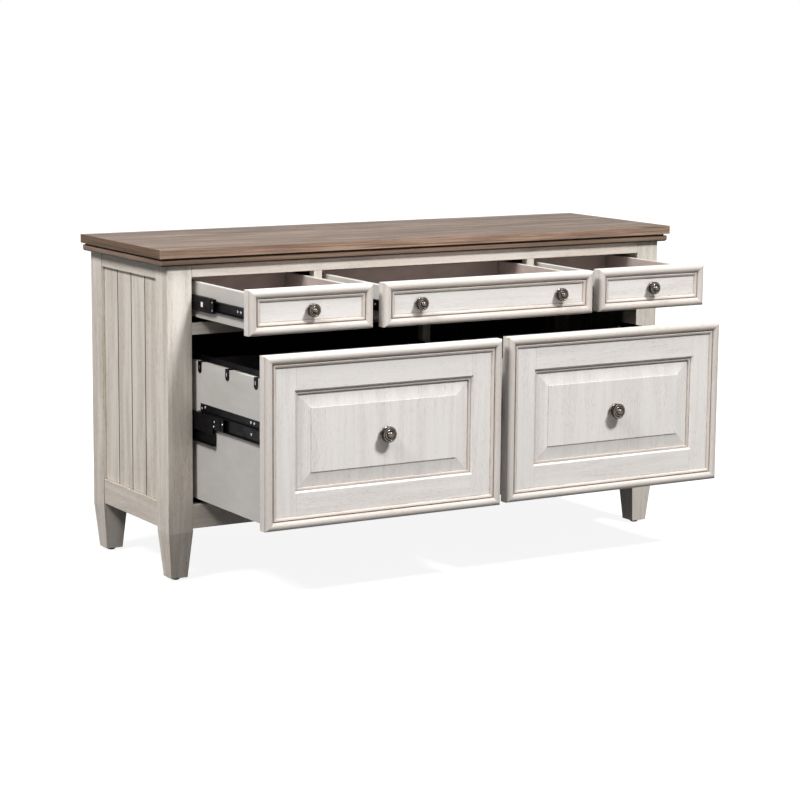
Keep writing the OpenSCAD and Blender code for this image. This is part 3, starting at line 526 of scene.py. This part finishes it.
for node in ("front_posts", "back_posts"):
    dress(node, [WHITE_FRAME], 1.4 * MM, axis=Z)
for node in ("side_top_rails", "side_bottom_rails"):
    dress(node, [WHITE_FRAME], 1.0 * MM, axis=Y)
for node in ("front_top_rail", "front_mid_rail", "front_bottom_rail"):
    dress(node, [WHITE_FRAME], 1.0 * MM, axis=X)
dress("front_dividers", [WHITE_FRAME], 1.0 * MM, axis=Z)
# The partitions, dust panels, cleats and the back panel's inner face are near black: dark stain and painted
# shade.
for node in ("upper_partitions", "centre_partition"):
    dress(node, [INNER_STAIN_AND_SHADE], 0.6 * MM, axis=Y)
dress("dust_panels", [INNER_STAIN_AND_SHADE], 0.4 * MM, axis=X)
dress("runner_cleats", [INNER_STAIN_AND_SHADE], 0.8 * MM, axis=Y)
dress("corner_blocks", [RAW_WOOD], 0.6 * MM, axis=Z)
dress(
    "back_panel",
    [RAW_WOOD, INNER_STAIN_AND_SHADE],
    0.4 * MM,
    axis=X,
    paint=lambda f: 1 if f.normal.y < -0.5 else 0,
)
dress("back_rails", [WHITE_FRAME], 1.0 * MM, axis=X)
dress("foot_glides", [BLACK_PLASTIC], 0.3 * MM, axis=Z, smooth=40)

# End panels: four boards, with a narrow groove at each joint that is painted dark, partly glaze and partly
# painted shade
GROOVES = (-66.75 * MM, 7.5 * MM, 81.75 * MM)
GROOVE_DEPTH = 5.5 * MM
HALF_GROOVE = [(2.1 * MM, 0.0), (1.4 * MM, 0.7 * MM), (1.3 * MM, GROOVE_DEPTH)]
BOARD_THICK = 12 * MM
low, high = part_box("side_panels")
outline = [(low[Y], 0.0)]
for y in GROOVES:
    outline += [(y - u, t) for u, t in HALF_GROOVE] + [(y + u, t) for u, t in reversed(HALF_GROOVE)]
outline += [(high[Y], 0.0), (high[Y], BOARD_THICK), (low[Y], BOARD_THICK)]
bm = bmesh.new()
for side, face in ((-1, low[X]), (1, high[X])):
    rings = [[bm.verts.new((face - side * t, y, z)) for y, t in outline] for z in (low[Z], high[Z])]
    bm.faces.new(rings[0])
    bm.faces.new(rings[1][::-1])
    for i in range(len(outline)):
        j = (i + 1) % len(outline)
        f = bm.faces.new((rings[0][i], rings[1][i], rings[1][j], rings[0][j]))
        deepest = max(outline[i][1], outline[j][1])
        f.material_index = 1 if 0 < deepest <= GROOVE_DEPTH else 0
add_grain(bm, "side panels", axis=Z)
piece(bm, "side_boards", "case", [WHITE_FRAME, GLAZE_AND_SHADE], ("side_panels",))

# Top board: planks side by side, the outer arris rounded by hand
PLANKS = 4
PLANK_GAP = 0.01 * MM
low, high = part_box("top_board")
top = high[Z]
pitch = (high[Y] - low[Y]) / PLANKS
seams = [low[Y] + i * pitch for i in range(1, PLANKS)]
bm = bmesh.new()
for i in range(PLANKS):
    front = low[Y] + i * pitch + (PLANK_GAP if i else 0)
    back = low[Y] + (i + 1) * pitch - (PLANK_GAP if i < PLANKS - 1 else 0)
    block(bm, (low[X], front, low[Z]), (high[X], back, high[Z]))


def at_seam(e):
    return any(all(abs(v.co.y - seam) < 0.05 * MM for v in e.verts) for seam in seams)


def within(e, depth):
    """The edge lies no deeper than so far under the top."""
    return min(v.co.z for v in e.verts) > top - depth


def upright_or_low(e):
    heights = [v.co.z for v in e.verts]
    return max(heights) < top - 3 * MM or abs(heights[0] - heights[1]) > 10 * MM


ease(bm, 2.0 * MM, 4, pick=lambda e: not at_seam(e) and within(e, 0.1 * MM))
ease(bm, 1.1 * MM, 1, sharper=50, pick=lambda e: at_seam(e) and within(e, 2.5 * MM))
ease(bm, 1.0 * MM, 2, sharper=50, pick=lambda e: not at_seam(e) and upright_or_low(e))
add_grain(bm, "top planks", axis=X)
grain, tone, end = board_layers(bm)
bm.normal_update()
# The upward face takes the darker copy of the stain, as painted shade, and the ends take their own stain.
for f in bm.faces:
    f.material_index = 1 if abs(f.normal.z) > 0.9 and f.calc_center_median().z > top - 1.0 * MM else 0
    if abs(f.normal.x) > 0.7:
        # The ends are shown with the grain across them, since the stain hides the end grain
        f.material_index = 2
        f[end], f[tone] = 0.0, 0.5
        for loop in f.loops:
            co = loop.vert.co
            loop[grain] = (co.y + 3.0, co.z + 5.0, co.x)
piece(bm, "top_planks", "case", [BROWN_EDGE, BROWN_FACE_SHADED, BROWN_END], ("top_board",))

# Moulded frame under the top: a quirk under the board, then a rounded lower edge
FRAME_WIDE = 60 * MM
FRAME_GAP = 0.05 * MM
BEAD = 6.0 * MM
QUIRK = 4.4 * MM
low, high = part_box("top_frame")
tier = high[Z] - low[Z]
section = [
    (FRAME_WIDE, 0.0),
    (FRAME_WIDE, tier),
    (BEAD, tier),
    (BEAD, tier - QUIRK),
    (2.0 * MM, tier - QUIRK),
    (0.6 * MM, tier - 4.9 * MM),
    (0.0, tier - 6.0 * MM),
    *arc(BEAD, 4.2 * MM, BEAD, 180, 270, 8),
    (10.6 * MM, -1.8 * MM),
    (10.8 * MM, 0.0),
][::-1]
back_section = [(0, 0), (0, tier), (FRAME_WIDE, tier), (FRAME_WIDE, 0)][::-1]
inner = FRAME_WIDE + 0.1 * MM
bm = bmesh.new()
for a, b, inward, profile, mitre_a, mitre_b, gap, seed in (
    ((low[X], low[Y]), (high[X], low[Y]), (0, 1, 0), section, 1, 1, FRAME_GAP, 1.3),
    ((low[X], high[Y]), (low[X], low[Y]), (1, 0, 0), section, 0, 1, FRAME_GAP, 2.7),
    ((high[X], low[Y]), (high[X], high[Y]), (-1, 0, 0), section, 1, 0, FRAME_GAP, 3.9),
    ((high[X] - inner, high[Y]), (low[X] + inner, high[Y]), (0, -1, 0), back_section, 0, 0, 0, 5.1),
):
    strip(bm, (*a, low[Z]), (*b, low[Z]), inward, (0, 0, 1), profile, mitre_a, mitre_b, gap, 0, seed)
# Painted shade: the faces at the bottom of the moulding are marked like end faces, so that its stain paints
# them near black.
end = bm.faces.layers.float["end"]
for f in bm.faces:
    if f.calc_center_median().z < low[Z] + 2.3 * MM:
        f[end] = 1.0
piece(bm, "top_moulding", "case", [BROWN_SIDE], ("top_frame",), smooth=35)

# Turned profiles in mm, (radius, height): a back screw, a pan head screw with its recess, a ball in its cage
BACK_SCREW = [(4.2, 0.0), (4.2, 0.5), (3.6, 1.1), (2.4, 1.6), (1.5, 1.75), (1.3, 0.9), (0.0, 0.6)]
PAN_HEAD = [(3.4, 0.0), (3.4, 0.5), (3.0, 1.0), (2.1, 1.4), (1.3, 1.5), (1.1, 0.8), (0.0, 0.6)]
BALL = [(2.3, 0.0), (2.2, 0.7), (1.8, 1.4), (1.1, 2.0), (0.4, 2.25), (0.0, 2.3)]
HEAD_STEPS = 16

low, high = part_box("back_panel")
columns = 7
side_inset, edge_inset = 20 * MM, 14 * MM
bm = bmesh.new()
for column in range(columns):
    for z in (low[Z] + edge_inset, high[Z] - edge_inset):
        x = low[X] + side_inset + column * (high[X] - low[X] - 2 * side_inset) / (columns - 1)
        profile = [(r * MM, h * MM) for r, h in BACK_SCREW]
        lathe(bm, Vector((x, high[Y], z)), (0, 1, 0), (1, 0, 0), profile, HEAD_STEPS)
add_grain(bm, "back screws", X)
piece(bm, "back_screws", "case", [BLACK_STEEL], smooth=40)

# Drawers

# Profiles of mouldings in mm, (inward, out of the front): a nose with a fillet and an ogee; a small bead
NOSE = [
    (0.0, 0.0),
    (0.1, 0.8),
    *[(9.75 - 9.55 * math.cos(math.radians(t)), 8.0 * math.sin(math.radians(t))) for t in range(10, 171, 10)],
    *[(19.4, 0.8), (20.0, 0.8), (20.3, 2.4), (20.9, 3.4), (21.8, 3.8), (23.2, 3.5), (25.4, 2.7), (26.2, 2.2)],
    *[(27.0, 0.7), (27.6, 0.25), (29.0, 0.15), (29.0, 0.0)],
]
STICKING = [
    *[(0.0, 0.0), (0.0, 5.2), (0.6, 5.9), (1.4, 6.1)],
    *[(4.6, 6.1), (5.3, 5.8), (5.7, 5.1), (6.0, 3.6), (6.0, 0.0)],
]
STRIP_GAP = 0.06 * MM
# Radius, height and tone (1 is black) of a knob, in parts of its radius. Dark tones are patina in the rings
# and painted reflection and shade on the flange and the head's rim
KNOB = [
    # Flange and neck
    (0.40, 0.0, 1.0), (0.40, 0.06, 1.0), (0.36, 0.14, 1.0), (0.36, 0.20, 1.0), (0.60, 0.24, 1.0),
    (0.82, 0.275, 1.0), (0.90, 0.31, 1.0), (0.93, 0.37, 0.9), (0.91, 0.43, 0.8), (0.86, 0.47, 0.4),
    (0.80, 0.50, 0.9), (0.77, 0.54, 1.0), (0.78, 0.60, 0.5), (0.81, 0.70, 0.0), (0.85, 0.78, 0.0),
    # Head and its rim
    (0.89, 0.87, 0.0), (0.94, 0.96, 0.0), (0.98, 1.02, 0.2), (1.0, 1.07, 0.7), (0.998, 1.13, 1.0),
    (0.96, 1.19, 1.0), (0.91, 1.225, 0.9), (0.86, 1.245, 0.4), (0.80, 1.25, 0.2), (0.755, 1.235, 0.5),
    # Rings and dome
    (0.725, 1.20, 1.0), (0.69, 1.19, 1.0), (0.655, 1.20, 1.0), (0.625, 1.25, 0.6), (0.58, 1.28, 0.25),
    (0.535, 1.28, 0.4), (0.505, 1.25, 1.0), (0.475, 1.25, 1.0), (0.445, 1.31, 1.0), (0.40, 1.41, 0.75),
    (0.32, 1.51, 0.6), (0.22, 1.59, 0.45), (0.11, 1.635, 0.35), (0.0, 1.65, 0.35),
]
KNOB_STEPS = 72


def frame_of_strips(name, body, x, z, y, profile, seed, stands_for=(), wobble=0.12 * MM):
    """Four mitred strips round a rectangle in the plane at y, standing out toward the front."""
    shape = [(u * MM, h * MM) for u, h in profile]
    corners = [(x[0], y, z[0]), (x[1], y, z[0]), (x[1], y, z[1]), (x[0], y, z[1])]
    inward = [(0, 0, 1), (-1, 0, 0), (0, 0, -1), (1, 0, 0)]
    bm = bmesh.new()
    for i in range(4):
        a, b = corners[i], corners[(i + 1) % 4]
        strip(bm, a, b, inward[i], (0, -1, 0), shape, 1, 1, STRIP_GAP, wobble, seed + 1 + i)
    piece(bm, name, body, [SHADED_WHITE_TRIM], stands_for, smooth=33)


def knobs(name, node, body):
    """Turned knobs: a flange, a cone, a ringed head and a low dome. One for each knob of the CAD node."""
    low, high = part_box(node)
    z = (low[Z] + high[Z]) / 2
    r = (high[Z] - low[Z]) / 2
    single = high[X] - low[X] < 3 * r
    xs = [(low[X] + high[X]) / 2] if single else [low[X] + r, high[X] - r]
    bm = bmesh.new()
    for x in xs:
        profile = [(a * r, h * r) for a, h, _ in KNOB]
        lathe(bm, Vector((x, high[Y], z)), (0, -1, 0), (1, 0, 0), profile, KNOB_STEPS)
    add_grain(bm, name, Y)
    tone = bm.faces.layers.float["tone"]
    # Each face takes the tone of the nearest point of the profile: the painted reflection, shade and patina
    # of the table.
    for f in bm.faces:
        h = (high[Y] - sum(v.co.y for v in f.verts) / len(f.verts)) / r
        c = f.calc_center_median()
        a = min(math.hypot(c.x - x, c.z - z) for x in xs) / r
        f[tone] = min(KNOB, key=lambda k: (k[0] - a) ** 2 + (k[1] - h) ** 2)[2]
    piece(bm, name, body, [PEWTER], (node,), smooth=38)


def inside_faces(low, high, shaded_back):
    """Paints a box between two corners: 0 outside and on the rims, 1 inside.

    Where the back is asked for, the whole back board is 1, as painted shade."""
    mid = [(low[i] + high[i]) / 2 for i in range(3)]
    rim, back_board = 6 * MM, 14 * MM

    def paint(f):
        c = f.calc_center_median()
        # Painted shade: the file boxes' back board, which sits in the case, is painted dark.
        if shaded_back and c.y > high[Y] - back_board:
            return 1
        if abs(f.normal.z) > 0.5:
            return 0
        for i in (X, Y):
            off = mid[i] - c[i]
            if abs(f.normal[i]) > 0.7 and f.normal[i] * off > 0 and abs(off) < (high[i] - low[i]) / 2 - rim:
                return 1
        return 0

    return paint


def studs(name, body, pair, inset, places, profile):
    """Small turned steel parts on the outer faces of a pair of runners, at (y, z) places on both sides."""
    low, high = pair
    sunk = 0.1
    bm = bmesh.new()
    for x, out in ((low[X] + inset, -1), (high[X] - inset, 1)):
        for y, z in places:
            shape = [(r * MM, (h - sunk) * MM) for r, h in profile]
            lathe(bm, Vector((x, y, z)), (out, 0, 0), (0, 1, 0), shape, HEAD_STEPS)
    add_grain(bm, name, X)
    piece(bm, name, body, [BRIGHT_STEEL], smooth=50)


def plates(name, body, pair, inset, thick, spans, material):
    """Small rounded plates on the outer faces of a pair: (y0, y1, z0, z1) spans on both sides."""
    low, high = pair
    bm = bmesh.new()
    for x, out in ((low[X] + inset, -1), (high[X] - inset, 1)):
        for y0, y1, z0, z1 in spans:
            block(bm, (min(x, x + out * thick), y0, z0), (max(x, x + out * thick), y1, z1))
    ease(bm, 0.6 * MM, 3)
    add_grain(bm, name, Y)
    piece(bm, name, body, [material], smooth=40)


SCREW_INSET = 6.5 * MM
BALL_INSET = 0.7 * MM
# How far the clips of the hanging files sit behind the front of the box, in mm
CLIPS = (37, 173, 309)


def upper_hardware(d):
    """Screws, pale tabs and balls of an upper drawer's runners."""
    box_runners, middle_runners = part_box(d + "_box_runners"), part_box(d + "_middle_runners")
    low, high = box_runners
    mid = (low[Z] + high[Z]) / 2
    places = [(low[Y] + 30 * MM, mid), (low[Y] + 45 * MM, mid), (high[Y] - 40 * MM, mid)]
    studs(d + "_runner_screws", d + "_drawer", box_runners, SCREW_INSET, places, PAN_HEAD)
    start = middle_runners[0][Y] + 14 * MM
    tab = (start + 35.2 * MM, start + 44.8 * MM, mid - 5.4 * MM, mid + 5.4 * MM)
    plates(d + "_runner_tabs", d + "_runner", middle_runners, 0.3 * MM, 1.1 * MM, [tab], PALE_PLASTIC)
    places = [(start - 8 * MM, mid + 9 * MM), (start - 8 * MM, mid - 9 * MM)]
    ball = [(r * 0.8, h * 0.5) for r, h in BALL]
    studs(d + "_runner_balls", d + "_runner", middle_runners, BALL_INSET, places, ball)


def file_hardware(d):
    """Screws, balls and stops of a file drawer's runners, and a bright steel spot on each clip, a painted
    highlight.
    """
    box_runners, middle_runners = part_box(d + "_box_runners"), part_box(d + "_middle_runners")
    front, back, top = box_runners[0][Y], box_runners[1][Y], box_runners[1][Z]
    places = [
        (front + 41 * MM, top - 8 * MM),
        (front + 57 * MM, top - 8 * MM),
        (front + 55 * MM, top - 34 * MM),
        (back - 8 * MM, top - 11 * MM),
        (back - 24 * MM, top - 7 * MM),
    ]
    studs(d + "_runner_screws", d + "_drawer", box_runners, SCREW_INSET, places, PAN_HEAD)
    start = middle_runners[0][Y] + 50 * MM
    places = [
        (start - 46 * MM, top - 30 * MM),
        (start - 7 * MM, top - 30 * MM),
        (start - 4 * MM, top - 41 * MM),
    ]
    ball = [(r, h * 0.7) for r, h in BALL]
    studs(d + "_runner_balls", d + "_runner", middle_runners, BALL_INSET, places, ball)
    stop = (start - 36 * MM, start - 16 * MM, top - 41 * MM, top - 21 * MM)
    name, slide = d + "_runner_stops", d + "_runner"
    plates(name, slide, middle_runners, 0.7 * MM, 1.4 * MM, [stop], BLACK_PLASTIC)
    low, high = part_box(d + "_box")
    # Painted highlight: a small bright steel plate on each clip.
    glints = []
    for y in CLIPS:
        along = low[Y] + y * MM
        glints.append((along - 1.6 * MM, along + 1.6 * MM, high[Z] - 15 * MM, high[Z] - 7 * MM))
    plates(d + "_clip_pins", d + "_drawer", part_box(d + "_hangers"), 0.0, 0.9 * MM, glints, BRIGHT_STEEL)


for number, d in enumerate(DRAWERS):
    body = d + "_drawer"
    upper = d.startswith("upper")
    if upper:
        dress(d + "_front", [WHITE_FRONT], 1.0 * MM, axis=X)
        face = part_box(d + "_front")[0][Y]
    else:
        dress(d + "_frame", [WHITE_FRONT], 0.7 * MM)
        dress(d + "_panel", [WHITE_FRONT], 0.5 * MM, axis=Z)
        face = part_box(d + "_frame")[0][Y]
        low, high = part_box(d + "_panel")
        tongue, recess = 6 * MM, 11 * MM
        x, z = (low[X] + tongue, high[X] - tongue), (low[Z] + tongue, high[Z] - tongue)
        seed = 50 + 5 * number
        frame_of_strips(d + "_sticking", body, x, z, face + recess, STICKING, seed, wobble=0.05 * MM)
    low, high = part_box(d + "_trim")
    x, z = (low[X], high[X]), (low[Z], high[Z])
    frame_of_strips(d + "_moulding", body, x, z, face, NOSE, 5 * number, (d + "_trim",))
    low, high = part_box(d + "_box")
    # The inside faces take painted shade: grey in the upper boxes, near black in the file boxes.
    inside = INSIDE_SHADE if upper else FILE_INSIDE_SHADE
    dress(
        d + "_box",
        [BOX_PAINT, inside],
        1.8 * MM,
        segments=3,
        paint=inside_faces(low, high, shaded_back=not upper),
        smooth=30,
    )
    dress(d + "_bottom", [inside], 0.3 * MM, axis=Y)
    knobs(d + "_turned_knob", d + ("_knobs" if d == "upper_middle" else "_knob"), body)
    if upper:
        upper_hardware(d)
    else:
        dress(d + "_hangers", [BLACK_PLASTIC], 0.5 * MM, axis=Y)
        file_hardware(d)
    for node in (d + "_box_runners", d + "_middle_runners"):
        dress(node, [BLACK_STEEL], 0.25 * MM, axis=Y, segments=1)
for node in ("upper_case_runners", "file_case_runners"):
    dress(node, [BLACK_STEEL], 0.25 * MM, axis=Y, segments=1)

# Stage

HALF_FLOOR = 30
floor_mesh = bpy.data.meshes.new("floor")
bm = bmesh.new()
bmesh.ops.create_grid(bm, x_segments=1, y_segments=1, size=HALF_FLOOR)
bm.to_mesh(floor_mesh)
bm.free()
floor = bpy.data.objects.new("floor", floor_mesh)
scene.collection.objects.link(floor)

# The floor takes shadows, and glows nearly white for the camera alone, so it runs into the white behind it
w = Web(bpy.data.materials.new("floor"))
seen = w.seen()
grey = w.over((0.10, 0.10, 0.10, 1.0), (0.28, 0.28, 0.28, 1.0), seen)
matt = w.node("BsdfDiffuse", {"Color": grey, "Roughness": 0.6})
away = w.node("VectorMath", {0: w.node("TexCoord", out="Object")}, out="Value", operation="LENGTH")
strength = w.product(seen, w.band(away, 1.0, 3.0, 0.90, 0.99))
lift = w.node("Emission", {"Color": (1.0, 1.0, 1.0, 1.0), "Strength": strength})
w.node("OutputMaterial", {"Surface": w.node("AddShader", {0: matt, 1: lift})})
floor_mesh.materials.append(w.owner)

w = Web(bpy.data.worlds.new("studio"))
soft = w.node("Background", {"Color": (1.0, 0.985, 0.965, 1.0), "Strength": 0.075})
white = w.node("Background", {"Color": (1.0, 1.0, 1.0, 1.0), "Strength": 1.0})
w.node("OutputWorld", {"Surface": w.node("MixShader", {0: w.seen(), 1: soft, 2: white})})
scene.world = w.owner


def softbox(name, place, aim, wide, high, power, colour=(1.0, 1.0, 1.0)):
    """A rectangular lamp at place, turned to aim."""
    lamp = bpy.data.lights.new(name, "AREA")
    lamp.shape = "RECTANGLE"
    lamp.size, lamp.size_y, lamp.energy, lamp.color = wide, high, power, colour
    ob = bpy.data.objects.new(name, lamp)
    ob.location = place
    ob.rotation_euler = (Vector(aim) - Vector(place)).to_track_quat("-Z", "Y").to_euler()
    scene.collection.objects.link(ob)


softbox("key", (1.62, -5.3, 6.75), (0, -0.3, 0.45), 1.5, 1.3, 742)
softbox("left", (-3.75, -1.15, 4.15), (-0.3, 0, 0.4), 1.5, 1.3, 236, (1.0, 0.975, 0.955))
softbox("fill", (-0.9, -2.0, 5.0), (-0.1, -0.2, 0.4), 3.2, 2.4, 62, (1.0, 0.95, 0.90))

# Camera, fitted to the photograph: angles in degrees, focal length in pixels of a picture PICTURE wide

AZIMUTH, ELEVATION, ROLL = 31.1301, 9.24697, 0.467814
EYE = (-2.930685, -4.933471, 1.275777)
FOCAL, PICTURE, SENSOR = 2354.91, 800, 36

az, el, roll = (math.radians(angle) for angle in (AZIMUTH, ELEVATION, ROLL))
ahead = Vector((math.sin(az) * math.cos(el), math.cos(az) * math.cos(el), -math.sin(el)))
right = Vector((math.cos(az), -math.sin(az), 0))
up = right.cross(ahead)
right, up = right * math.cos(roll) + up * math.sin(roll), up * math.cos(roll) - right * math.sin(roll)
view = bpy.data.cameras.new("view")
view.sensor_width = SENSOR
view.lens = FOCAL * SENSOR / PICTURE
view.clip_start, view.clip_end = 0.05, 100
camera = bpy.data.objects.new("view", view)
camera.matrix_world = Matrix([(right[i], up[i], -ahead[i], EYE[i]) for i in range(3)] + [(0, 0, 0, 1)])
scene.collection.objects.link(camera)
scene.camera = camera
scene.view_settings.view_transform = "Standard"
